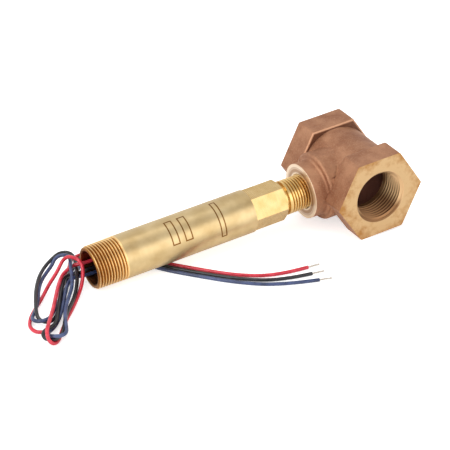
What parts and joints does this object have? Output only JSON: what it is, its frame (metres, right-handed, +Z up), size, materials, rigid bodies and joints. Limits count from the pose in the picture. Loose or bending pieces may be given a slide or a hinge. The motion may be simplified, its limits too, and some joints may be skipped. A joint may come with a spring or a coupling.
{
  "type": "paddle flow switch",
  "caption": "Magnetic paddle flow switch screwed into a hexagonal bronze pipe tee, with a brass barrel, conduit thread and loose flying leads.",
  "frame": {"origin": "on the table under the middle of the rigid parts' box, as the switch lies on the tee's hexagons and the conduit rim", "axes": "+X from the conduit end towards the tee, +Y along the tee's waterway towards the inlet port, +Z up"},
  "size_m": [0.2586, 0.1077, 0.0527],
  "materials": {
    "cast_bronze": "as-cast bronze with machined port faces",
    "turned_brass": "satin turned brass",
    "nipple_brass": "bright milled and turned brass",
    "stainless_steel": "bright stainless steel",
    "spring_steel": "spring-tempered stainless sheet",
    "magnet_ferrite": "sintered ferrite magnet",
    "chassis_steel": "zinc-plated steel",
    "switch_phenolic": "moulded black phenolic",
    "cover_phenolic": "moulded brown phenolic",
    "plunger_nylon": "moulded nylon",
    "tab_brass": "silver-plated brass",
    "blade_copper": "beryllium copper spring",
    "ring_rubber": "nitrile rubber",
    "sleeve_fibre": "vulcanised fibre",
    "potting_epoxy": "cast epoxy",
    "lead_red_pvc": "smooth PVC insulation",
    "lead_black_pvc": "smooth PVC insulation",
    "lead_blue_pvc": "smooth PVC insulation",
    "tinned_copper": "tinned copper strands"
  },
  "bodies": {
    "housing": {"tee_casting": "cast_bronze", "lower_body": "nipple_brass", "upper_body": "turned_brass", "body_o_ring": "ring_rubber", "vane_pivot_pin": "stainless_steel", "switch_chassis": "chassis_steel", "switch_case": "switch_phenolic", "switch_cover": "cover_phenolic", "switch_screws": "chassis_steel", "terminal_common": "tab_brass", "terminal_open": "tab_brass", "terminal_closed": "tab_brass", "lever_pivot_pin": "stainless_steel", "insulating_sleeve": "sleeve_fibre", "lead_seal": "potting_epoxy", "lead_hank": "lead_black_pvc", "inner_lead_red": "lead_red_pvc", "lead_red_root": "lead_red_pvc", "lead_red_tail": "lead_red_pvc", "strands_red": "tinned_copper", "inner_lead_black": "lead_black_pvc", "lead_black_root": "lead_black_pvc", "lead_black_tail": "lead_black_pvc", "strands_black": "tinned_copper", "inner_lead_blue": "lead_blue_pvc", "lead_blue_root": "lead_blue_pvc", "lead_blue_tail": "lead_blue_pvc", "strands_blue": "tinned_copper"},
    "vane": {"vane_carrier": "stainless_steel", "vane_blade": "spring_steel", "vane_backing_leaf": "spring_steel", "vane_rivets": "stainless_steel", "vane_magnet": "magnet_ferrite"},
    "lever": {"magnet_lever": "chassis_steel", "lever_magnet": "magnet_ferrite"},
    "plunger": {"switch_plunger": "plunger_nylon"},
    "contact": {"contact_blade": "blade_copper"}
  },
  "joints": [
    {"name": "vane_swing", "type": "hinge", "parent": "housing", "child": "vane", "pos_m": [0.04807, 0, 0.02434], "axis": [0.0753, 0, -0.9972], "range_deg": [0, 10], "stiffness_Nm_per_rad": 0.02},
    {"name": "lever_swing", "type": "hinge", "parent": "housing", "child": "lever", "pos_m": [-0.01575, 0.003, 0.01952], "axis": [-0.0753, 0, 0.9972], "range_deg": [0, 2.6]},
    {"name": "plunger_press", "type": "slide", "parent": "housing", "child": "plunger", "axis": [0, -1, 0], "range_m": [0, 0.00042]},
    {"name": "contact_throw", "type": "hinge", "parent": "housing", "child": "contact", "pos_m": [-0.02124, 0.0015, 0.0191], "axis": [-0.0753, 0, 0.9972], "range_deg": [0, 2.67]}
  ],
  "couplings": [
    {"joint": "lever_swing", "follows": "vane_swing", "ratio": 0.26},
    {"joint": "plunger_press", "follows": "vane_swing", "m_per_rad": 0.0024064},
    {"joint": "contact_throw", "follows": "vane_swing", "ratio": 0.26706}
  ]
}
